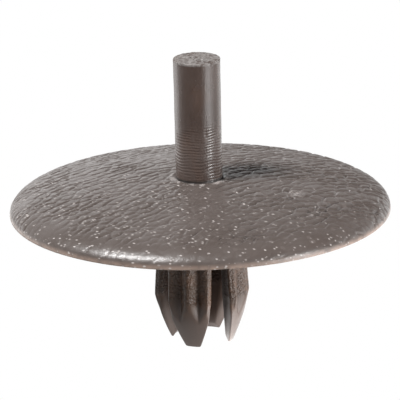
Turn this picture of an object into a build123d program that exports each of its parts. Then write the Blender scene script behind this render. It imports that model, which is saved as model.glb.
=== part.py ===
from build123d import *

import os
from math import hypot, isclose, radians, sqrt, tan

# Plastic push rivet for a 1/4 in hole: a domed head on four sprung legs, moulded as one
# piece, and the drive pin that stands in the head until it is pushed home between the legs.
# Millimetres. The origin is the centre of the plane that the head seats on, +Z runs up the
# pin, and the four legs lie on the X and Y axes.

# ---- Driving dimensions ----

# Head
head_diameter = 25.4
crown_height = 2.3          # seat plane to the top of the dome
dome_edge_height = 0.92     # where the dome's arc would meet the head's edge
rim_round_width = 2.0       # how far in from the edge the rim starts to turn down
rim_edge_height = 0.06      # upright edge left under the rim's round
head_wall = 1.3             # thickness of the dome over the dish beneath it

# Drive pin, and the bore in the head that guides it
pin_diameter = 3.08
pin_stand = 8.13            # how far the pin stands out of the crown before it is driven
pin_seat_depth = 1.0        # how deep its lower end sits in the bore
pin_clearance = 0.05        # radial, pin to bore
pin_lead_chamfer = 0.25
pin_top_round = 0.1
bore_mouth_chamfer = 0.07

# Fine locking ridges round the lower part of the pin
ridge_pitch = 0.2
ridge_depth = 0.04
ridge_count = 19
ridge_start = 0.15          # first ridge above the crown

# Shank: a full collar under the head, then four legs that flare to a crease and taper in
shank_root_radius = 2.83    # collar, and the legs' outside at the seat plane
shank_root_fillet = 0.3
collar_length = 0.8         # full ring left below the seat plane, above the slots
crease_radius = 3.2
crease_depth = 5.82         # seat plane down to the crease
tip_radius = 2.12
leg_length = 9.04           # seat plane down to the tips
tip_land = 0.1              # flat left at the end of each leg
tip_bevel_angle = 54.0      # inner bevel of the tips, from the tip plane
leg_count = 4
leg_clearance = 0.16        # from the pin to the flat inner face of each leg

# Slots between the legs, half widths at three levels
slot_half_at_seat = 0.36
slot_half_at_crease = 0.72
slot_half_at_tip = 1.1
slot_end_round = 0.2        # in the upper corners of each slot

# Two grooves down the outside of each leg, which leave three ridges
groove_width = 0.44
groove_depth = 0.17         # at the seat plane; the floor is upright, so they deepen with the
                            # flare down to the crease and run out in the taper
groove_angle = 13.2         # from the middle of the leg to the middle of a groove
leg_edge_round = 0.14       # round along the edges of the three ridges
groove_round_share = 0.65   # the most of a groove's wall that the round may take
level_tolerance = 0.01      # for finding edges by their depth

# ---- Worked out from the above ----

head_radius = head_diameter / 2
pin_radius = pin_diameter / 2
bore_radius = pin_radius + pin_clearance
passage_half = pin_radius + leg_clearance
dome_sagitta = crown_height - dome_edge_height
dome_radius = (head_radius**2 + dome_sagitta**2) / (2 * dome_sagitta)
dome_centre = crown_height - dome_radius
dish_radius = dome_radius - head_wall
leg_pitch_angle = 360 / leg_count
leg_flare = (crease_radius - shank_root_radius) / crease_depth
slot_flare = (slot_half_at_crease - slot_half_at_seat) / crease_depth
slot_half_at_collar = slot_half_at_seat + slot_flare * collar_length
collar_radius = shank_root_radius + leg_flare * collar_length
groove_floor_radius = shank_root_radius - groove_depth
groove_reach = head_radius - groove_floor_radius
groove_wall = min(collar_radius, crease_radius) - groove_floor_radius


def arc_height(radius_of_arc, distance):
    """Height of an arc about the dome's centre, at a distance from the axis."""
    return dome_centre + sqrt(radius_of_arc**2 - distance**2)


def runs_outside(edge, upper_depth, lower_depth):
    """Whether an edge runs down the outside of a leg, from one depth below the seat to another.

    An edge beside a slot starts a little lower than the others, under the round in the slot's corner.
    """
    lower_end, upper_end = sorted(((edge @ 0).Z, (edge @ 1).Z))
    middle = edge @ 0.5
    is_outside = hypot(middle.X, middle.Y) > tip_radius
    starts_there = isclose(-upper_end, upper_depth, abs_tol=slot_end_round)
    ends_there = isclose(-lower_end, lower_depth, abs_tol=level_tolerance)
    return is_outside and starts_there and ends_there


# ---- rivet_body: head, collar and legs, one moulding ----

bore_mouth_r = bore_radius + bore_mouth_chamfer
bore_mouth = (bore_mouth_r, arc_height(dome_radius, bore_mouth_r))
shoulder_r = head_radius - rim_round_width
shoulder = (shoulder_r, arc_height(dome_radius, shoulder_r))
dome_middle_r = (shoulder_r + bore_mouth_r) / 2
dome_middle = (dome_middle_r, arc_height(dome_radius, dome_middle_r))
dome_slope = shoulder_r / (shoulder[1] - dome_centre)
rim_corner = (head_radius, shoulder[1] - dome_slope * rim_round_width)
rim_edge = (head_radius, rim_edge_height)
dish_edge_r = sqrt(dish_radius**2 - dome_centre**2)
dish_root = (shank_root_radius, arc_height(dish_radius, shank_root_radius))
dish_middle_r = (dish_edge_r + shank_root_radius) / 2
dish_middle = (dish_middle_r, arc_height(dish_radius, dish_middle_r))
tip_inner_radius = tip_radius - tip_land
bevel_rise = (tip_inner_radius - bore_radius) * tan(radians(tip_bevel_angle))

with BuildPart() as rivet_body:
    with BuildSketch(Plane.XZ) as half_section:
        with BuildLine():
            ThreePointArc(bore_mouth, dome_middle, shoulder)
            Bezier(shoulder, rim_corner, rim_edge)
            Polyline(rim_edge, (head_radius, 0), (dish_edge_r, 0))
            ThreePointArc((dish_edge_r, 0), dish_middle, dish_root)
            Polyline(
                dish_root,
                (shank_root_radius, 0),
                (crease_radius, -crease_depth),
                (tip_radius, -leg_length),
                (tip_inner_radius, -leg_length),
                (bore_radius, -leg_length + bevel_rise),
                (bore_radius, bore_mouth[1] - bore_mouth_chamfer),
                bore_mouth,
            )
        make_face()
        root_corner = half_section.vertices().sort_by_distance(dish_root)[0]
        fillet(root_corner, shank_root_fillet)
    revolve(axis=Axis.Z)

    # Inside of the legs: flat faces, square to each leg, that clear the driven pin
    with BuildSketch(Plane.XY.offset(-collar_length)):
        RegularPolygon(passage_half, leg_count, major_radius=False, rotation=leg_pitch_angle / 2)
    extrude(amount=-leg_length, mode=Mode.SUBTRACT)

    # Slots from the collar down, half way between the legs, wider towards the tips
    for slot_number in range(leg_count):
        slot_plane = Plane.YZ.rotated((0, 0, leg_pitch_angle * (slot_number + 0.5)))
        with BuildSketch(slot_plane) as slot:
            with BuildLine():
                slot_side = Polyline(
                    (0, -collar_length),
                    (slot_half_at_collar, -collar_length),
                    (slot_half_at_crease, -crease_depth),
                    (slot_half_at_tip, -leg_length),
                    (0, -leg_length),
                )
                mirror(slot_side, about=Plane.YZ)
            make_face()
            fillet(slot.vertices().group_by(Axis.Y)[-1], slot_end_round)
        extrude(amount=head_radius, mode=Mode.SUBTRACT)

    # Grooves down the legs, with a constant floor radius, so that they run out in the taper
    groove_centre = groove_floor_radius + groove_reach / 2
    for side in (-1, 1):
        with BuildSketch(Plane.XY.offset(-collar_length)):
            with PolarLocations(groove_centre, leg_count, start_angle=side * groove_angle):
                Rectangle(groove_reach, groove_width)
        extrude(amount=-leg_length, mode=Mode.SUBTRACT)

    # Rounded ridges: the long outer edges above the crease, and the slots' edges below it
    upper_edges = rivet_body.edges().filter_by(lambda edge: runs_outside(edge, collar_length, crease_depth))
    lower_edges = rivet_body.edges().filter_by(lambda edge: runs_outside(edge, crease_depth, leg_length))
    fillet(upper_edges + lower_edges, min(leg_edge_round, groove_wall * groove_round_share))

rivet_body.part.label = "rivet_body"

# ---- drive_pin: plain above, ridged below, its lower end in the head's bore ----

pin_bottom = crown_height - pin_seat_depth
pin_top = crown_height + pin_stand

with BuildPart() as drive_pin:
    with BuildSketch(Plane.XZ):
        with BuildLine():
            side_points = [(0, pin_bottom), (pin_radius - pin_lead_chamfer, pin_bottom)]
            side_points.append((pin_radius, pin_bottom + pin_lead_chamfer))
            for ridge in range(ridge_count):
                groove_foot = crown_height + ridge_start + ridge * ridge_pitch
                side_points.append((pin_radius, groove_foot))
                side_points.append((pin_radius - ridge_depth, groove_foot + ridge_pitch / 2))
            ridges_end = crown_height + ridge_start + ridge_count * ridge_pitch
            side_points += [(pin_radius, ridges_end), (pin_radius, pin_top), (0, pin_top)]
            Polyline(*side_points, close=True)
        make_face()
    revolve(axis=Axis.Z)
    fillet(drive_pin.edges().sort_by(Axis.Z)[-1], pin_top_round)

drive_pin.part.label = "drive_pin"

# ---- Export ----

os.makedirs("parts", exist_ok=True)
export_step(rivet_body.part, "parts/rivet_body.step")
export_step(drive_pin.part, "parts/drive_pin.step")
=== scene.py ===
import math

import bpy
import numpy as np
from mathutils import Matrix, Vector


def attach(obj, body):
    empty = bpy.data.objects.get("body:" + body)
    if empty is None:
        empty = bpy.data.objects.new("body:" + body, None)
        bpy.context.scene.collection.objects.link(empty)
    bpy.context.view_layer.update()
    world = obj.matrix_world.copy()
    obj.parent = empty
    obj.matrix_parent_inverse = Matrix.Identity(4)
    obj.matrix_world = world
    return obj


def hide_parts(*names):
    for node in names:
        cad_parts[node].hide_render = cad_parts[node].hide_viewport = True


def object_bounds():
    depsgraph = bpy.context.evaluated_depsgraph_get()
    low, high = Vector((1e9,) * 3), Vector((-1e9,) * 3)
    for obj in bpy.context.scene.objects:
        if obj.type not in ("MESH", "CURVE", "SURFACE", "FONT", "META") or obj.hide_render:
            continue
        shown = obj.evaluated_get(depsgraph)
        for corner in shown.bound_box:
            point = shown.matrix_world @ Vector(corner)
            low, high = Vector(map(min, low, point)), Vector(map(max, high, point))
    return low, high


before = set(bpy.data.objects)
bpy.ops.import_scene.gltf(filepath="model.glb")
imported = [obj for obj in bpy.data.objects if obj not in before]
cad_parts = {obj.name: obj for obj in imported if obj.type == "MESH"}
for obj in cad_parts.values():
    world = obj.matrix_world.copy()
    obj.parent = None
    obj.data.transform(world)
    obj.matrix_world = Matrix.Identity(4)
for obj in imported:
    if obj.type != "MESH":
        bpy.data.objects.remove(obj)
cad_low, cad_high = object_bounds()

# Plastic push rivet: the domed, leather-grained head with its legs is one piece, the drive pin
# another. Shapes are worked out in millimetres in the CAD's frame and scaled at the end.
MM = 0.001

# ---- Sizes: the CAD's, but for a slightly wider head and the legs' slots, grooves and rounds ----

HEAD_R = 12.73
CROWN = 2.3
DOME_EDGE = 0.92
RIM_ROUND = 2.0
RIM_EDGE = 0.06
HEAD_WALL = 1.3
PIN_R = 1.54
PIN_BOTTOM = 1.3
PIN_TOP = 10.43
BORE_R = 1.59
SHANK_R = 2.83
ROOT_FILLET = 0.3
COLLAR = 0.8
CREASE_R = 3.2
CREASE_Z = -5.82
TIP_R = 2.12
TIP_Z = -9.04
TIP_INNER_R = 2.02
TIP_BEVEL = math.radians(54.0)
PASSAGE_HALF = 1.7
SLOT_SEAT, SLOT_CREASE, SLOT_TIP = 0.36, 0.70, 1.03
# a groove's wall: shares of its half width, from its edge to its middle, and of its depth there
GROOVE_ACROSS = (1.08, 1.0, 0.9, 0.8, 0.6, 0.4, 0.2, 0.1, 0.0)
GROOVE_DEEP = (0.0, 0.05, 0.14, 0.24, 0.46, 0.68, 0.9, 0.98, 1.0)
GROOVE_FLOOR = 2.7
GROOVE_ANGLE = math.radians(13.2)
EDGE_ROUND = 0.17
RIDGE_DROP = 0.13            # how far the ridges round off towards their edges

SAG = CROWN - DOME_EDGE
DOME_R = (HEAD_R**2 + SAG**2) / (2 * SAG)
DOME_Z = CROWN - DOME_R
DISH_R = DOME_R - HEAD_WALL

# The photograph's camera, as azimuth and elevation about the origin
CAMERA_AZIMUTH = math.radians(19.13)
CAMERA_ELEVATION = math.radians(17.835)
CAMERA_DISTANCE = 243.3
CAMERA_LENS = 327.3
CAMERA_ROLL = math.radians(-1.277)
CAMERA_AIM = 0.643


def toward(azimuth_deg, elevation_deg):
    """Unit vector from the object, by azimuth right of the camera and elevation."""
    a = CAMERA_AZIMUTH + math.radians(azimuth_deg)
    e = math.radians(elevation_deg)
    return Vector((math.sin(a) * math.cos(e), -math.cos(a) * math.cos(e), math.sin(e)))


def in_frame(right_mm, away_mm):
    """Plan position in the row frame of a point right of and beyond the axis, as the camera sees it."""
    c, s = math.cos(CAMERA_AZIMUTH), math.sin(CAMERA_AZIMUTH)
    return np.array([right_mm * c - away_mm * s, right_mm * s + away_mm * c])


# ---- Seeded smooth noise ----


class Waves:
    """Smooth noise in any number of dimensions: a sum of random plane waves."""

    def __init__(self, seed, size, dims=2, count=24):
        rng = np.random.default_rng(seed)
        direction = rng.normal(size=(count, dims))
        direction /= np.linalg.norm(direction, axis=1)[:, None]
        length = size * rng.uniform(0.6, 1.7, count)
        self.k = direction * (2 * math.pi / length)[:, None]
        self.phase = rng.uniform(0, 2 * math.pi, count)
        self.scale = math.sqrt(2 / count)

    def __call__(self, points):
        return np.sin(points @ self.k.T + self.phase).sum(1) * self.scale


def smoothstep(low, high, x):
    t = np.clip((x - low) / (high - low), 0, 1)
    return t * t * (3 - 2 * t)


# ---- Leather grain ----


class Leather:
    """Pressed leather grain: pebbles in slightly bent rows, parted by creases of uneven depth."""

    def __init__(self, seed, reach, length=0.84, width=0.6):
        rng = np.random.default_rng(seed)
        pitch = np.array([length, width])
        n = (np.ceil(2.3 * reach / pitch)).astype(int)
        i, j = np.meshgrid(np.arange(n[0]), np.arange(n[1]), indexing="ij")
        grid = np.stack([i + 0.5 * (j % 2), j], -1).reshape(-1, 2).astype(float)
        grid += rng.uniform(-1, 1, grid.shape) * (0.36, 0.2)
        local = (grid - n / 2) * pitch
        bend = Waves(seed + 1, 3.6, count=14)
        local[:, 1] += 0.24 * bend(local) - 0.006 * local[:, 0] ** 2
        lay = math.radians(54)
        turn = np.array([[math.cos(lay), math.sin(lay)], [-math.sin(lay), math.cos(lay)]])
        seeds = local @ turn
        kept = np.hypot(seeds[:, 0], seeds[:, 1]) < reach + 1
        self.seeds = seeds[kept]
        count = len(self.seeds)
        self.angle = lay - 0.012 * local[kept, 0] + np.radians(rng.normal(0, 7, count))
        self.long = length * 0.5 * rng.uniform(0.8, 1.25, count)
        self.wide = width * 0.5 * rng.uniform(0.85, 1.15, count)
        self.lift = rng.uniform(-1, 1, count)
        self.salt = rng.uniform(0, 1, count)

    def __call__(self, points):
        """Crease share 0..1, and the height of the pebble's own crown, at plan points."""
        crease = np.zeros(len(points))
        crown = np.zeros(len(points))
        ca, sa = np.cos(self.angle), np.sin(self.angle)
        for start in range(0, len(points), 2000):
            p = points[start : start + 2000]
            dx = p[:, 0, None] - self.seeds[None, :, 0]
            dy = p[:, 1, None] - self.seeds[None, :, 1]
            near = np.hypot((dx * ca + dy * sa) / self.long, (dy * ca - dx * sa) / self.wide)
            two = np.argpartition(near, 2, axis=1)[:, :3]
            d = np.take_along_axis(near, two, 1)
            order = np.argsort(d, axis=1)
            two = np.take_along_axis(two, order, 1)
            d = np.take_along_axis(d, order, 1)
            a, b = two[:, 0], two[:, 1]
            gap = d[:, 1] - d[:, 0]
            pair = np.modf((self.salt[a] + self.salt[b]) * 7.31)[0]
            across = self.seeds[b] - self.seeds[a]
            across /= np.maximum(np.linalg.norm(across, axis=1), 1e-6)[:, None]
            mean = self.angle[a]
            along = np.abs(across[:, 0] * np.cos(mean) + across[:, 1] * np.sin(mean))
            steep = np.hypot(along / self.long[a], np.sqrt(1 - np.minimum(along, 1) ** 2) / self.wide[a])
            border = gap / (2 * steep)
            strength = (1 - 0.6 * along**4) * (0.3 + 0.7 * smoothstep(0.0, 0.65, pair))
            crease[start : start + 2000] = np.exp(-((border / 0.082) ** 2)) * strength
            flat_top = 1 - np.exp(-((border / 0.12) ** 2))
            shoulder = np.exp(-(((border - 0.16) / 0.06) ** 2))
            swell = 0.4 * (1 - np.clip(d[:, 0], 0, 1.2) ** 2 / 1.44)
            crown[start : start + 2000] = swell + 0.35 * self.lift[a] * flat_top + 0.3 * shoulder
        return crease, crown


# ---- Mesh helpers ----


def zip_rings(lower, upper, angles_a, angles_b):
    """Triangles between two closed rings of vertices, by their angles."""
    n, m = len(lower), len(upper)
    faces, i, j = [], 0, 0
    while i < n or j < m:
        next_a = angles_a[(i + 1) % n] + 2 * math.pi * ((i + 1) // n)
        next_b = angles_b[(j + 1) % m] + 2 * math.pi * ((j + 1) // m)
        a, b = lower[i % n], upper[j % m]
        if i < n and (j >= m or next_a <= next_b):
            faces.append((a, lower[(i + 1) % n], b))
            i += 1
        else:
            faces.append((a, upper[(j + 1) % m], b))
            j += 1
    return faces


class Mesh:
    def __init__(self):
        self.points, self.faces, self.count = [], [], 0

    def add(self, points):
        """Adds vertices and returns their numbers."""
        points = np.asarray(points, float)
        self.points.append(points)
        numbers = np.arange(self.count, self.count + len(points))
        self.count += len(points)
        return numbers

    def rings(self, stack):
        """Joins rings, each (points, angles), in order. Returns the vertex numbers of each."""
        rows = [self.add(points) for points, _ in stack]
        for (row, (_, a)), (above, (_, b)) in zip(zip(rows, stack), zip(rows[1:], stack[1:])):
            self.faces += zip_rings(row.tolist(), above.tolist(), a, b)
        return rows

    def grid(self, rows):
        """Quads between closed rows of equal length."""
        for a, b in zip(rows, rows[1:]):
            n = len(a)
            for i in range(n):
                k = (i + 1) % n
                self.faces.append((a[i], a[k], b[k], b[i]))

    def build(self, name):
        data = bpy.data.meshes.new(name)
        data.from_pydata((np.concatenate(self.points) * MM).tolist(), [], self.faces)
        data.validate()
        data.update()
        piece = bpy.data.objects.new(name, data)
        bpy.context.scene.collection.objects.link(piece)
        return piece


def circle(radius, z, count, phase=0.0):
    a = phase + np.arange(count) * (2 * math.pi / count)
    return np.stack([radius * np.cos(a), radius * np.sin(a), np.full(count, z)], -1), a.tolist()


# ---- Head: grained top, rim, seat land, dish and collar as one closed skin ----

GRAIN_STEP = 0.0935          # spacing of the vertices that carry the grain
GRAIN_DEPTH = 0.078
MOUTH = 0.025                # how far the bore's lip is turned in at the crown
GRAIN_CROWN = 0.018


def dome_z(radius_of_arc, r):
    return DOME_Z + np.sqrt(radius_of_arc**2 - r**2)


def head_profile():
    """Finely spaced points (r, z) from the bore's mouth over the dome and down the rim."""
    shoulder = HEAD_R - RIM_ROUND
    r = np.linspace(BORE_R + MOUTH, shoulder, 900)
    dome = np.stack([r, dome_z(DOME_R, r)], -1)
    start = dome[-1]
    slope = shoulder / (start[1] - DOME_Z)
    corner = np.array([HEAD_R, start[1] - slope * RIM_ROUND])
    end = np.array([HEAD_R, RIM_EDGE])
    t = np.linspace(0, 1, 500)[1:, None]
    rim = (1 - t) ** 2 * start + 2 * t * (1 - t) * corner + t**2 * end
    return np.concatenate([dome, rim])


def head_top():
    """Rings of grained points, from the bore's mouth out, and their angles."""
    profile = head_profile()
    step = np.hypot(*np.diff(profile, axis=0).T)
    length = np.concatenate([[0], np.cumsum(step)])
    total = length[-1]
    levels = np.linspace(0, total, int(round(total / (GRAIN_STEP * 0.9))) + 1)
    r = np.interp(levels, length, profile[:, 0])
    z = np.interp(levels, length, profile[:, 1])
    tangent = np.stack([np.gradient(r, levels), np.gradient(z, levels)], -1)
    normal = np.stack([-tangent[:, 1], tangent[:, 0]], -1)
    normal /= np.linalg.norm(normal, axis=1)[:, None]
    rng = np.random.default_rng(7)
    rings, unrolled = [], []
    for i in range(len(levels)):
        count = max(90, int(round(2 * math.pi * r[i] / GRAIN_STEP)))
        points, angles = circle(r[i], z[i], count, rng.uniform(0, 2 * math.pi / count))
        rings.append([points, angles])
        reach = levels[i] + BORE_R + MOUTH
        unrolled.append(np.stack([reach * np.cos(angles), reach * np.sin(angles)], -1))
    flat = np.concatenate(unrolled)
    reach = np.hypot(flat[:, 0], flat[:, 1])
    last = reach.max()
    crease, crown = Leather(11, last)(flat)
    broad = Waves(21, 5.0)(flat)
    fine = Waves(22, 0.5, count=40)(flat)
    edge = smoothstep(last - 0.08, last - 0.4, reach)
    mouth = smoothstep(BORE_R + 0.1, BORE_R + 0.5, reach)
    depth = GRAIN_DEPTH * (0.85 + 0.25 * broad) * (1 + 1.1 * smoothstep(-1.0, 7.0, flat @ in_frame(1, 0)))
    height = (GRAIN_CROWN * crown - depth * crease) * edge * mouth + 0.004 * fine * mouth
    front = smoothstep(0.2, 0.75, -(flat @ in_frame(0.15, 0.99)) / reach)
    height *= 1 - (0.2 + 0.55 * front) * smoothstep(last - 2.4, last - 1.4, reach)
    # torn web round the pin's foot: a low, broken lip
    angle = np.arctan2(flat[:, 1], flat[:, 0])
    lip = np.exp(-(((reach - BORE_R - 0.22) / 0.09) ** 2))
    torn = Waves(23, 0.9, count=16)(np.stack([np.cos(angle), np.sin(angle)], -1) * 2.2)
    height += lip * (0.03 + 0.03 * torn)
    start = 0
    for level, ring in enumerate(rings):
        count = len(ring[0])
        h = height[start : start + count]
        start += count
        a = np.array(ring[1])
        ring[0] = ring[0] + np.stack(
            [normal[level, 0] * np.cos(a) * h, normal[level, 0] * np.sin(a) * h, normal[level, 1] * h], -1
        )
    return rings


def head_under():
    """Rings from the rim's lower edge over land, dish, root and collar, and up the bore."""
    dish_edge = math.sqrt(DISH_R**2 - DOME_Z**2)
    path = [(HEAD_R - 0.004, 0.03), (HEAD_R - 0.022, 0.008), (HEAD_R - 0.06, 0.0), (HEAD_R - 0.5, 0.0)]
    path += [(dish_edge + 0.5, 0.0), (dish_edge + 0.05, 0.0)]
    for r in np.linspace(dish_edge - 0.03, SHANK_R + ROOT_FILLET + 0.1, 26):
        path.append((r, dome_z(DISH_R, r)))
    top = dome_z(DISH_R, SHANK_R + ROOT_FILLET) - ROOT_FILLET
    for a in np.linspace(85, 5, 9):
        a = math.radians(a)
        path.append((SHANK_R + ROOT_FILLET * (1 - math.cos(a)), top + ROOT_FILLET * math.sin(a)))
    flare = (CREASE_R - SHANK_R) / -CREASE_Z
    for z in (top, 0.3, 0.0, -0.3, -COLLAR + 0.04):
        path.append((SHANK_R + flare * max(0.0, -z), z))
    path += [(SHANK_R + flare * COLLAR - 0.03, -COLLAR), (2.4, -COLLAR), (2.0, -COLLAR)]
    path += [(BORE_R + 0.03, -COLLAR), (BORE_R, -COLLAR + 0.03), (BORE_R, 0.0), (BORE_R, 1.2)]
    path += [(BORE_R, dome_z(DOME_R, BORE_R + MOUTH) - MOUTH)]
    rings = []
    for r, z in path:
        count = max(96, min(320, int(r * 26)))
        rings.append(circle(r, z, count))
    return rings


def head_skin():
    mesh = Mesh()
    top = head_top()
    under = head_under()
    rows = mesh.rings([(points, angles) for points, angles in top] + under)
    mesh.faces += zip_rings(rows[-1].tolist(), rows[0].tolist(), under[-1][1], top[0][1])
    return mesh.build("head_skin")


# ---- Legs: stacked outlines, fluted outside, flat inside ----


def leg_radius(z):
    """Outside radius of the legs at a level, with the crease a little rounded."""
    above = SHANK_R + (CREASE_R - SHANK_R) * (z / CREASE_Z)
    below = CREASE_R + (TIP_R - CREASE_R) * ((z - CREASE_Z) / (TIP_Z - CREASE_Z))
    below += 0.06 * math.sin(math.pi * min(1.0, max(0.0, (z - CREASE_Z) / (TIP_Z - CREASE_Z))))
    soft = 0.035
    gap = above - below
    return min(above, below) - soft * math.exp(-abs(gap) / (2 * soft)) * 0.5


def slot_half(z):
    if z > CREASE_Z:
        return SLOT_SEAT + (SLOT_CREASE - SLOT_SEAT) * z / CREASE_Z
    return SLOT_CREASE + (SLOT_TIP - SLOT_CREASE) * (z - CREASE_Z) / (TIP_Z - CREASE_Z)


def arc(centre, radius, start, end, count):
    a = np.linspace(start, end, count)
    return [(centre[0] + radius * math.cos(t), centre[1] + radius * math.sin(t)) for t in a]


def half_outline(z, radius, slot):
    """Half of the section of a leg that points along +X, from inner to outer middle."""
    quarter = math.pi / 4
    r_in = max(TIP_INNER_R - (z - TIP_Z) / math.tan(TIP_BEVEL), 0.0)
    inner = (PASSAGE_HALF, PASSAGE_HALF - slot * math.sqrt(2))
    if math.hypot(*inner) < r_in:
        t = quarter - math.asin(slot / r_in)
        inner = (r_in * math.cos(t), r_in * math.sin(t))
    points = []
    for share in np.linspace(0, 1, 7):
        y = inner[1] * share
        points.append((max(PASSAGE_HALF, math.sqrt(max(r_in**2 - y**2, 0.0))), y))
    floor_r = GROOVE_FLOOR + 0.1 * max(0.0, CREASE_Z - z)
    rise = max(0.0, radius - floor_r)
    drop = RIDGE_DROP * min(1.0, rise / 0.4)
    crest = 0.4 * drop
    softness = EDGE_ROUND * (1 - 0.6 * float(smoothstep(CREASE_Z, CREASE_Z - 1.2, z)))
    round_r = min(softness, 0.42 * (radius - math.hypot(*inner)) + 0.02)
    reach = radius - drop - round_r
    turn = quarter - math.asin((slot + round_r) / reach)
    centre = (reach * math.cos(turn), reach * math.sin(turn))
    corner = np.array(arc(centre, round_r, 3 * quarter, turn, 6))
    chord = corner[0] + (corner[-1] - corner[0]) * np.linspace(0, 1, 6)[:, None]
    corner = (corner * 0.8 + chord * 0.2).tolist()
    for share in np.linspace(0, 1, 7)[1:-1]:
        points.append(tuple(inner[k] + (corner[0][k] - inner[k]) * share for k in (0, 1)))
    points += corner
    # the side ridge, a groove with sloping walls and the middle ridge
    half = min(0.5, 0.12 + 0.95 * rise)
    start = GROOVE_ANGLE + math.asin(1.08 * half / radius)
    squeeze = min(1.0, 0.93 * turn / start)
    for share in (0.25, 0.5, 0.75):
        t = turn + (start * squeeze - turn) * share
        r = radius - (drop if share < 0.5 else crest) * (2 * share - 1) ** 2
        points.append((r * math.cos(t), r * math.sin(t)))
    for side in (1, -1):
        for s in GROOVE_ACROSS[::side]:
            t = (GROOVE_ANGLE + math.asin(side * s * half / radius)) * squeeze
            r = radius - crest - (rise - crest) * np.interp(s, GROOVE_ACROSS[::-1], GROOVE_DEEP[::-1])
            if (side, s) != (-1, 0.0):
                points.append((float(r) * math.cos(t), float(r) * math.sin(t)))
    edge = (GROOVE_ANGLE - math.asin(1.08 * half / radius)) * squeeze
    for share in (0.3, 0.6, 1.0):
        t = edge * (1 - share)
        r = radius - crest * (1 - share) ** 2
        points.append((r * math.cos(t), r * math.sin(t)))
    return points


def outline(z, inset=0.0):
    half = half_outline(z, leg_radius(z) - inset, slot_half(min(z, -COLLAR)) + inset)
    mirrored = [(x, -y) for x, y in reversed(half[1:-1])]
    return np.array(half + mirrored)


def leg(number):
    """One leg as a closed solid that reaches up into the collar."""
    levels = [(-0.42, 0.05), (-0.7, 0.04), (-COLLAR, 0.02), (-0.86, 0.0)]
    levels += [(z, 0.0) for z in np.linspace(-1.1, -5.5, 19)]
    levels += [(z, 0.0) for z in (-5.65, -5.74, -5.79, -5.82, -5.85, -5.9, -6.0)]
    levels += [(z, 0.0) for z in np.linspace(-6.2, -8.3, 14)]
    levels += [(z, 0.0) for z in (-8.42, -8.5, -8.6, -8.7, -8.8, -8.9, -8.98, -9.02, TIP_Z)]
    turn = number * math.pi / 2
    waver = Waves(40 + number, 1.6, dims=3, count=20)
    mesh, rows = Mesh(), []
    for z, inset in levels:
        flat = outline(z, inset)
        if z < -9.0:
            centre = flat.mean(0)
            flat = centre + (flat - centre) * (0.97 if z > TIP_Z else 0.9)
        points = np.column_stack([flat, np.full(len(flat), z)])
        reach = np.hypot(points[:, 0], points[:, 1])
        push = 0.009 * waver(points) * (inset == 0.0)
        points[:, :2] *= (1 + np.minimum(push, 0.004) / reach)[:, None]
        c, s = math.cos(turn), math.sin(turn)
        points[:, :2] = points[:, :2] @ np.array([[c, s], [-s, c]])
        rows.append(mesh.add(points).tolist())
    mesh.grid(list(reversed(rows)))
    mesh.faces.append(tuple(rows[0]))
    mesh.faces.append(tuple(reversed(rows[-1])))
    return mesh.build(f"leg_{number}")


def fuse(base, others):
    """Boolean union of base with the others, which are removed."""
    for other in others:
        step = base.modifiers.new("fuse", "BOOLEAN")
        step.operation = "UNION"
        step.solver = "MANIFOLD"
        step.object = other
    graph = bpy.context.evaluated_depsgraph_get()
    fused = bpy.data.meshes.new_from_object(base.evaluated_get(graph))
    base.modifiers.clear()
    base.data = fused
    for other in others:
        bpy.data.objects.remove(other)
    return base


# ---- Drive pin ----

RIDGE_START = 0.15           # first locking ridge above the crown
RIDGE_PITCH = 0.2
RIDGE_COUNT = 19
RIDGE_TOP = CROWN + RIDGE_START + RIDGE_COUNT * RIDGE_PITCH
PIN_COUNT = 240              # vertices round the pin


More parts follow.
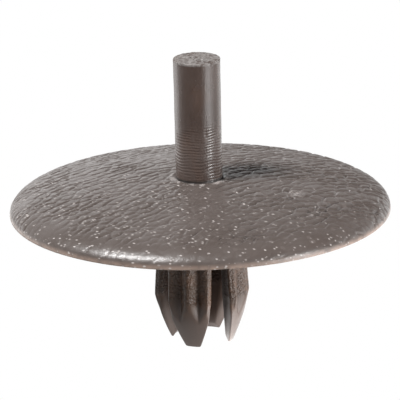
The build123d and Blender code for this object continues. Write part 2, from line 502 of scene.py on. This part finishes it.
def pin_mesh():
    mesh = Mesh()
    pin_r, pin_top = PIN_R + 0.02, PIN_TOP + 0.06
    offset = in_frame(-0.02, 0)
    angle = np.arange(PIN_COUNT) * (2 * math.pi / PIN_COUNT)
    ring = np.stack([np.cos(angle), np.sin(angle)], -1)
    lean = Waves(50, 3.0, dims=3, count=16)
    wobble = Waves(51, 1.6, dims=3, count=20)
    patch = Waves(52, 0.8, dims=3, count=24)
    rows = []

    def level(radius, z, ridge=0.0, foot=False):
        at = np.column_stack([ring * pin_r, np.full(PIN_COUNT, z)])
        swell = radius + 0.007 * lean(at) - 0.004
        if foot:  # what is left of the web: fuller at the sides than in front
            swell = radius + 0.008 * patch(at)
        if ridge:
            phase = 2 * math.pi * (z - CROWN - RIDGE_START) / RIDGE_PITCH + 1.3 * wobble(at)
            uneven = np.clip(0.75 + 0.45 * patch(at), 0.1, 1.2)
            swell = swell - ridge * (0.55 + 0.45 * np.cos(phase)) * uneven
        flat = ring * np.minimum(swell, pin_r + 0.035)[:, None] + offset
        rows.append(mesh.add(np.column_stack([flat, np.full(PIN_COUNT, z)])))

    level(pin_r - 0.25, PIN_BOTTOM)
    level(pin_r - 0.12, PIN_BOTTOM + 0.12)
    level(pin_r - 0.004, PIN_BOTTOM + 0.25)
    level(pin_r - 0.004, CROWN - 0.2)
    level(pin_r + 0.028, CROWN - 0.07, foot=True)
    level(pin_r + 0.028, CROWN - 0.02, foot=True)
    level(pin_r, CROWN + 0.02)
    for z in np.arange(CROWN + 0.06, RIDGE_TOP + 0.3, 0.022):
        fade = smoothstep(CROWN + 0.02, CROWN + 0.2, z)
        fade *= 1 - smoothstep(RIDGE_TOP - 0.5, RIDGE_TOP + 0.25, z)
        level(pin_r, z, 0.016 * float(fade))
    for z in np.linspace(RIDGE_TOP + 0.35, pin_top - 0.16, 40):
        level(pin_r + 0.01 * float(smoothstep(pin_top - 1.2, pin_top - 0.1, z)), z)
    swirl = Waves(53, 0.55, count=30)
    rough = Waves(54, 0.22, count=40)
    pit = in_frame(0.375, -0.33)
    chip = in_frame(0.94, -1.2)
    for share in np.concatenate([[0, 0.2, 0.4, 0.6, 0.8, 1.0], np.linspace(1.05, 9.0, 30)]):
        if share <= 1:
            r = pin_r + 0.01 - 0.06 * (1 - math.cos(share * math.pi / 2))
            z = pin_top - 0.08 + 0.07 * math.sin(share * math.pi / 2)
        else:
            r = (pin_r - 0.05) * (1 - (share - 1) / 8.0)
            z = pin_top - 0.01
        flat = ring * max(r, 0.001)
        bow = np.column_stack([flat[:, 0] * 1.4 + 0.3 * flat[:, 1], flat[:, 1] * 0.8])
        face = smoothstep(0.4, 1.6, share)
        h = face * (0.028 * swirl(bow) + 0.009 * rough(flat)) - 0.02 * face
        h -= 0.13 * np.exp(-((np.hypot(*(flat - pit).T) / 0.085) ** 2))
        broken = np.exp(-((np.hypot(*(flat - chip).T) / 0.26) ** 2))
        h += broken * (0.035 * rough(flat * 1.6) - 0.05)
        top = np.minimum(z + h, pin_top)
        inward = 1 - 0.03 * broken * (share < 2)
        rows.append(mesh.add(np.column_stack([flat * inward[:, None] + offset, top])))
    mesh.grid([row.tolist() for row in rows])
    mesh.faces.append(tuple(reversed(rows[0].tolist())))
    mesh.faces.append(tuple(rows[-1].tolist()))
    return mesh.build("drive_pin_skin")


# ---- Node helpers ----


class Nodes:
    """Short calls for building a node tree."""

    def __init__(self, tree):
        self.tree = tree
        tree.nodes.clear()

    def add(self, kind, inputs=None, **settings):
        made = self.tree.nodes.new(kind)
        for key, value in settings.items():
            setattr(made, key, value)
        for key, value in (inputs or {}).items():
            self.feed(made, key, value)
        return made

    def feed(self, made, key, value):
        socket = made.inputs[key]
        if isinstance(value, bpy.types.NodeSocket):
            self.tree.links.new(value, socket)
        else:
            socket.default_value = value

    def math(self, operation, a, b=0.5, c=0.0):
        return self.add("ShaderNodeMath", {0: a, 1: b, 2: c}, operation=operation).outputs[0]

    def times(self, a, b):
        return self.math("MULTIPLY", a, b)

    def plus(self, a, b):
        return self.math("ADD", a, b)

    def along(self, x, y, direction):
        """How far a plan point lies along a direction."""
        return self.plus(self.times(x, float(direction[0])), self.times(y, float(direction[1])))

    def length(self, x, y):
        return self.math("SQRT", self.plus(self.times(x, x), self.times(y, y)))

    def step(self, value, low, high, out_low=0.0, out_high=1.0):
        made = self.add(
            "ShaderNodeMapRange",
            {"Value": value, "From Min": low, "From Max": high, "To Min": out_low, "To Max": out_high},
            interpolation_type="SMOOTHSTEP",
        )
        return made.outputs["Result"]

    def noise(self, vector, scale, detail=2.0, roughness=0.5, distortion=0.0):
        inputs = {"Vector": vector, "Scale": scale, "Detail": detail}
        inputs |= {"Roughness": roughness, "Distortion": distortion}
        return self.add("ShaderNodeTexNoise", inputs).outputs["Fac"]

    def mix(self, factor, a, b):
        made = self.add("ShaderNodeMix", data_type="RGBA")
        self.feed(made, 0, factor)
        self.feed(made, 6, a)
        self.feed(made, 7, b)
        return made.outputs[2]

    def place(self, vector, scale=(1, 1, 1), turn=0.0, move=(0, 0, 0)):
        inputs = {"Vector": vector, "Scale": scale, "Rotation": (0, 0, turn), "Location": move}
        return self.add("ShaderNodeMapping", inputs).outputs["Vector"]

    def dot(self, a, b):
        return self.add("ShaderNodeVectorMath", {0: a, 1: b}, operation="DOT_PRODUCT").outputs["Value"]

    def parts(self, vector):
        made = self.add("ShaderNodeSeparateXYZ", {"Vector": vector})
        return made.outputs["X"], made.outputs["Y"], made.outputs["Z"]

    def bump(self, height, distance):
        made = self.add("ShaderNodeBump", {"Height": height, "Distance": distance, "Strength": 1.0})
        return made.outputs["Normal"]

    def gloss(self, colour, rough, normal, **more):
        """The plastic's shader, as the material's surface."""
        inputs = {"Base Color": colour, "Roughness": rough, "IOR": 1.5, "Normal": normal}
        shader = self.add("ShaderNodeBsdfPrincipled", inputs | more)
        self.add("ShaderNodeOutputMaterial", {"Surface": shader.outputs["BSDF"]})


def new_material(name):
    material = bpy.data.materials.new(name)
    material.use_nodes = True
    return material, Nodes(material.node_tree)


def millimetres(n):
    """Object coordinates in millimetres."""
    at = n.add("ShaderNodeTexCoord").outputs["Object"]
    return n.place(at, scale=(1000, 1000, 1000))


BROWN = (0.050, 0.031, 0.024, 1)
BROWN_DARK = (0.038, 0.022, 0.016, 1)
HEAD_BROWN = (0.084, 0.069, 0.063, 1)
HEAD_BROWN_DARK = (0.067, 0.053, 0.047, 1)
LEG_BROWN = (0.057, 0.029, 0.015, 1)
LEG_BROWN_DARK = (0.038, 0.018, 0.009, 1)
# pale flecks and painted glints
SPECK_AND_GLINT = (0.34, 0.31, 0.295, 1)
PALE = (0.36, 0.35, 0.34, 1)
TAN = (0.25, 0.18, 0.145, 1)
WARM = (0.11, 0.050, 0.022, 1)
# painted shade colour for the recesses between the legs
INSIDE_SHADE_BROWN = (0.026, 0.011, 0.005, 1)
# painted light: paler colour of the taper below the crease
TAPER_LIT_BROWN = (0.106, 0.076, 0.063, 1)
# painted shade and painted highlight for the grain
GRAIN_SHADE_BROWN = (0.030, 0.022, 0.018, 1)
GRAIN_HIGHLIGHT_BROWN = (0.130, 0.110, 0.102, 1)
# painted shade colour for the pin's foot
FOOT_SHADE_BROWN = (0.008, 0.005, 0.004, 1)
# painted light colour for the pin's ridged part
RIDGE_LIT_BROWN = (0.088, 0.066, 0.058, 1)


def body_material():
    material, n = new_material("body_plastic_looks")
    at = millimetres(n)
    x, y, z = n.parts(at)
    head = n.step(z, -0.02, 0.02)
    cloud = n.noise(at, 0.35, 3.0)
    clear = n.step(cloud, 0.3, 0.7)
    top = n.mix(clear, HEAD_BROWN_DARK, HEAD_BROWN)
    below = n.mix(clear, LEG_BROWN_DARK, LEG_BROWN)
    tint = n.times(n.step(n.noise(at, 0.9, 2.0), 0.5, 0.66), n.step(z, CREASE_Z + 4.0, CREASE_Z))
    below = n.mix(n.times(tint, 0.5), below, WARM)
    # painted light: below the crease the legs are paler, standing for the bright floor's light on the
    # downward-facing taper
    below = n.mix(n.step(z, CREASE_Z + 0.5, CREASE_Z - 1.6), below, TAPER_LIT_BROWN)
    # painted shade and painted highlight in the grain, most of all on the right. The skin's faces point
    # inward, which turns
    # Pointiness round: the painted shade lies on the raised edges and the painted highlight in the
    # creases
    point = n.add("ShaderNodeNewGeometry").outputs["Pointiness"]
    right = n.along(x, y, in_frame(1, 0))
    painted_grain_amount = n.step(right, -4.0, 6.0, 0.15, 0.75)
    top = n.mix(n.times(n.step(point, 0.495, 0.44), painted_grain_amount), top, GRAIN_SHADE_BROWN)
    top = n.mix(n.times(n.step(point, 0.51, 0.56), n.times(painted_grain_amount, 0.5)), top, GRAIN_HIGHLIGHT_BROWN)
    # painted shade: deep between the legs, where shade falls, the plastic is painted almost black
    reach = n.length(x, y)
    tapered = n.times(n.math("MAXIMUM", n.math("SUBTRACT", CREASE_Z, z), 0.0), 0.335)
    shaded_inside = n.step(n.plus(reach, tapered), 2.9, 2.3)
    below = n.mix(n.times(shaded_inside, 0.9), below, INSIDE_SHADE_BROWN)
    # a paler tan band along the rim's lower edge, uneven by noise
    uneven = n.times(n.step(z, 0.42, 0.05), n.step(reach, HEAD_R - 0.5, HEAD_R - 0.1))
    uneven = n.times(uneven, n.step(n.noise(at, 1.7, 3.0, 0.6), 0.25, 0.6, 0.3, 0.9))
    top = n.mix(uneven, top, TAN)
    colour = n.mix(head, below, top)
    # pale specks and short dashes, partly pale flecks and partly painted glints of the grain, most of
    # them towards one side and along the rim
    side = n.along(x, y, -in_frame(-0.5, -0.86))
    place = n.step(side, 3.0, -6.0)
    specks_and_glints = None
    for number, (size, turn, low, high) in enumerate(
        ((2.4, 0.3, 0.10, 0.17), (2.9, 1.3, 0.11, 0.19), (2.6, 2.4, 0.09, 0.17))
    ):
        spot = n.place(at, scale=(size * 0.55, size, size), turn=turn, move=(number * 7.3, 3.1, 0.0))
        cell = n.add("ShaderNodeTexVoronoi", {"Vector": spot, "Scale": 1.0, "Randomness": 1.0})
        tone = n.add("ShaderNodeSeparateColor", {"Color": cell.outputs["Color"]}).outputs[0]
        small = n.step(cell.outputs["Distance"], high, low)
        kept = n.step(n.plus(tone, n.times(place, place)), 0.84, 0.92)
        shade = n.step(n.noise(spot, 0.9, 1.0), 0.35, 0.6, 0.4, 1.0)
        here = n.times(n.times(small, kept), shade)
        specks_and_glints = here if specks_and_glints is None else n.math("MAXIMUM", specks_and_glints, here)
    specks_and_glints = n.times(specks_and_glints, head)
    # a scuffed, whitish patch
    scuff_at = in_frame(6.3, -2.9)
    dx = n.math("SUBTRACT", x, float(scuff_at[0]))
    dy = n.math("SUBTRACT", y, float(scuff_at[1]))
    far = n.length(dx, dy)
    scuff = n.times(n.step(far, 0.8, 0.2), n.step(n.noise(at, 4.2, 3.0, 0.7), 0.46, 0.62))
    scuff = n.times(scuff, head)
    # pale marks on the torn lip round the pin, partly pale bits and partly painted glints
    torn = n.times(n.step(reach, 2.1, 1.9), n.step(n.noise(at, 2.4, 2.0), 0.5, 0.6))
    marks = n.math("MAXIMUM", specks_and_glints, n.times(scuff, 0.8))
    marks = n.math("MAXIMUM", marks, n.times(n.times(torn, head), 0.5))
    colour = n.mix(marks, colour, SPECK_AND_GLINT)
    # surfaces: satin grain above, spark-eroded legs above the crease, smoother below
    eroded = n.times(n.step(z, CREASE_Z - 0.15, CREASE_Z + 0.3), n.step(z, -0.1, -0.3))
    sparkle = n.noise(at, 7.5, 1.0, 0.5)
    micro = n.noise(at, 14.0, 2.0, 0.6)
    height = n.plus(n.times(sparkle, eroded), n.times(micro, 0.1))
    normal = n.bump(height, 0.1 * MM)
    rough = n.plus(n.step(n.noise(at, 1.3, 3.0), 0.3, 0.7, 0.31, 0.40), n.times(marks, 0.25))
    rough = n.plus(rough, n.times(eroded, 0.04))
    rough = n.plus(rough, n.times(shaded_inside, n.step(z, -0.5, -1.0, 0.0, 0.25)))
    dull = n.math("MULTIPLY_ADD", n.times(shaded_inside, n.step(z, -0.5, -1.0)), -0.3, 0.5)
    n.gloss(colour, rough, normal, **{"Specular IOR Level": dull})
    return material


def pin_material():
    material, n = new_material("pin_plastic_looks")
    at = millimetres(n)
    _, _, z = n.parts(at)
    cloud = n.noise(at, 0.6, 3.0)
    colour = n.mix(n.step(cloud, 0.3, 0.7), BROWN_DARK, BROWN)
    top = n.step(z, PIN_TOP - 0.16, PIN_TOP - 0.06)
    drag = n.place(at, scale=(1.0, 2.2, 1.0), turn=0.5)
    pale = n.times(top, n.step(n.noise(drag, 1.9, 4.0, 0.65, 0.8), 0.36, 0.54, 0.04, 0.38))
    # painted light: the ridged lower part of the pin is paler, for the light its ridges catch
    ridged = n.step(z, CROWN + 4.4, CROWN + 2.0)
    colour = n.mix(n.times(ridged, 0.75), colour, RIDGE_LIT_BROWN)
    rust = n.times(n.step(n.noise(n.place(at, scale=(1.0, 1.0, 0.45)), 0.9, 3.0), 0.5, 0.7), 0.12)
    colour = n.mix(rust, colour, WARM)
    colour = n.mix(pale, colour, PALE)
    # painted shade: a dark band round the pin's foot, for the shade in the gap where it meets the head
    foot_shade_patches = n.step(n.noise(at, 0.8, 2.0), 0.35, 0.55, 0.5, 0.95)
    foot = n.times(n.step(z, CROWN + 0.17, CROWN + 0.06), foot_shade_patches)
    colour = n.mix(foot, colour, FOOT_SHADE_BROWN)
    drawn = n.place(at, scale=(5.0, 5.0, 0.5))
    lines = n.noise(drawn, 1.0, 3.0, 0.6)
    micro = n.noise(at, 10.0, 2.0, 0.6)
    height = n.plus(n.times(lines, 0.5), n.times(micro, 0.35))
    normal = n.bump(height, 0.035 * MM)
    rough = n.step(n.noise(at, 1.1, 3.0), 0.3, 0.7, 0.2, 0.28)
    rough = n.plus(rough, n.times(n.math("MAXIMUM", top, foot), 0.3))
    n.gloss(colour, rough, normal)
    return material


def finish_piece(piece, material, angle_deg):
    piece.data.materials.clear()
    piece.data.materials.append(material)
    piece.data.shade_smooth()
    piece.data.set_sharp_from_angle(angle=math.radians(angle_deg))


# ---- The object ----

body = fuse(head_skin(), [leg(number) for number in range(4)])
body.name = "rivet_body_skin"
finish_piece(body, body_material(), 50)
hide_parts("rivet_body")
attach(body, "body")

pin = pin_mesh()
finish_piece(pin, pin_material(), 60)
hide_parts("drive_pin")
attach(pin, "pin")

# ---- Surround: dark in front, bright behind and to the right, on the walls and on the floor ----

# Radiance by azimuth: of the floor, and of the walls up to 10, about 25 and about 45 degrees.
# The levels began as a least-squares fit of single lights to the photograph, made by a scratch
# program, and were then changed by hand.
SURROUND = (
    (-160, 0.15, 1.85, 0.92, 0.05),
    (-122, 2.10, 1.15, 0.32, 0.05),
    (-92, 0.60, 0.40, 0.05, 0.05),
    (-70, 0.12, 0.40, 0.00, 0.00),
    (-50, 0.00, 0.00, 0.00, 0.00),
    (26, 0.00, 0.00, 0.00, 0.00),
    (44, 3.50, 0.50, 0.00, 0.00),
    (56, 6.00, 1.70, 0.00, 0.00),
    (71, 2.60, 1.90, 0.00, 0.00),
    (95, 0.85, 1.39, 0.05, 0.00),
    (127, 1.20, 1.90, 0.30, 0.05),
    (143, 1.30, 2.60, 0.40, 0.05),
    (162, 0.25, 1.00, 0.16, 0.05),
)
BRIGHTEST = 6.0
NEAR_FLOOR = 0.25            # added around the legs, out to 30 mm
UNDER_LEGS = 1.8             # and under them, out to 9 mm


def surround(n, direction):
    """Radiance of the floor and of three bands of wall, towards a direction."""
    front = tuple(toward(0, 0))
    right = tuple(toward(90, 0))
    azimuth = n.math("ARCTAN2", n.dot(direction, right), n.dot(direction, front))
    share = n.math("MULTIPLY_ADD", azimuth, 1 / (2 * math.pi), 0.5)
    ramp = n.add("ShaderNodeValToRGB", {"Fac": share})
    elements = ramp.color_ramp.elements
    while len(elements) < len(SURROUND):
        elements.new(0.5)
    for element, (degrees, *_) in zip(elements, SURROUND):
        element.position = (degrees + 180) / 360
    for element, (_, *levels) in zip(elements, SURROUND):
        ground, *walls = (level / BRIGHTEST for level in levels)
        element.color = (*walls, ground)
    walls = n.add("ShaderNodeSeparateColor", {"Color": ramp.outputs["Color"]}).outputs
    return ramp.outputs["Alpha"], walls


def white_to_camera(n, lit):
    """The given shader for all but the camera, which sees plain white."""
    seen = n.add("ShaderNodeEmission", {"Color": (1, 1, 1, 1), "Strength": 1.0})
    ray = n.add("ShaderNodeLightPath").outputs["Is Camera Ray"]
    return n.add("ShaderNodeMixShader", {0: ray, 1: lit, 2: seen.outputs[0]}).outputs[0]


# ---- Floor ----

floor_data = bpy.data.meshes.new("floor")
side = 1.5
floor_z = cad_low.z - 0.00002
floor_data.from_pydata(
    [(-side, -side, floor_z), (side, -side, floor_z), (side, side, floor_z), (-side, side, floor_z)],
    [],
    [(0, 1, 2, 3)],
)
floor = bpy.data.objects.new("floor", floor_data)
bpy.context.scene.collection.objects.link(floor)
floor_material, n = new_material("floor_white")
spot = n.add("ShaderNodeTexCoord").outputs["Object"]
ground, _ = surround(n, spot)
far = n.add("ShaderNodeVectorMath", {0: spot}, operation="LENGTH").outputs["Value"]
aside = n.dot(spot, tuple(toward(90, 0)))
clear = n.times(n.step(far, 0.007, 0.011), n.step(aside, -0.008, 0.004))
ground = n.times(ground, n.math("MAXIMUM", clear, n.step(far, 0.032, 0.044)))
ground = n.plus(ground, n.step(far, 0.036, 0.024, 0.0, NEAR_FLOOR / BRIGHTEST))
ground = n.plus(ground, n.step(far, 0.011, 0.007, 0.0, UNDER_LEGS / BRIGHTEST))
paper = n.add("ShaderNodeBsdfDiffuse", {"Color": (0.3, 0.3, 0.3, 1)})
glow = n.add("ShaderNodeEmission", {"Color": ground, "Strength": BRIGHTEST})
lit = n.add("ShaderNodeAddShader", {0: paper.outputs[0], 1: glow.outputs[0]})
n.add("ShaderNodeOutputMaterial", {"Surface": white_to_camera(n, lit.outputs[0])})
floor_data.materials.append(floor_material)

# ---- Light: the walls, a strip on the right and a soft key on the left ----

world = bpy.data.worlds.new("studio")
world.use_nodes = True
bpy.context.scene.world = world
n = Nodes(world.node_tree)
direction = n.add("ShaderNodeTexCoord").outputs["Generated"]
_, (lower, middle, upper) = surround(n, direction)
_, _, up = n.parts(direction)
sky = n.mix(n.step(up, 0.13, 0.38), lower, middle)
sky = n.mix(n.step(up, 0.46, 0.68), sky, upper)
sky = n.mix(n.step(up, 0.82, 0.91), sky, (0, 0, 0, 1))
lit = n.add("ShaderNodeBackground", {"Color": sky, "Strength": BRIGHTEST})
n.add("ShaderNodeOutputWorld", {"Surface": white_to_camera(n, lit.outputs[0])})


def area_light(name, azimuth, elevation, distance, width, height, radiance):
    """A rectangular light that faces the origin; its power follows from the radiance wanted."""
    data = bpy.data.lights.new(name, "AREA")
    data.shape = "RECTANGLE"
    data.size, data.size_y = width, height
    data.energy = radiance * math.pi * width * height * math.pi
    lamp = bpy.data.objects.new(name, data)
    bpy.context.scene.collection.objects.link(lamp)
    spot = toward(azimuth, elevation)
    lamp.location = spot * distance
    lamp.rotation_mode = "QUATERNION"
    lamp.rotation_quaternion = spot.to_track_quat("Z", "Y")


area_light("key", -66, 61, 0.6, 0.15, 0.15, 32.0)
area_light("strip", 58, 5, 0.6, 0.16, 0.38, 6.5)

# ---- Camera ----

camera_data = bpy.data.cameras.new("camera")
camera_data.sensor_width = 36.0
camera_data.lens = CAMERA_LENS
camera_data.clip_start, camera_data.clip_end = 0.01, 10.0
camera = bpy.data.objects.new("camera", camera_data)
bpy.context.scene.collection.objects.link(camera)
back = toward(0, math.degrees(CAMERA_ELEVATION))
camera.location = back * CAMERA_DISTANCE * MM
looking = Vector((0, 0, CAMERA_AIM * MM)) - camera.location
camera.rotation_mode = "QUATERNION"
roll = Matrix.Rotation(CAMERA_ROLL, 3, "Z").to_quaternion()
camera.rotation_quaternion = looking.to_track_quat("-Z", "Y") @ roll
bpy.context.scene.camera = camera
bpy.context.scene.view_settings.view_transform = "Standard"
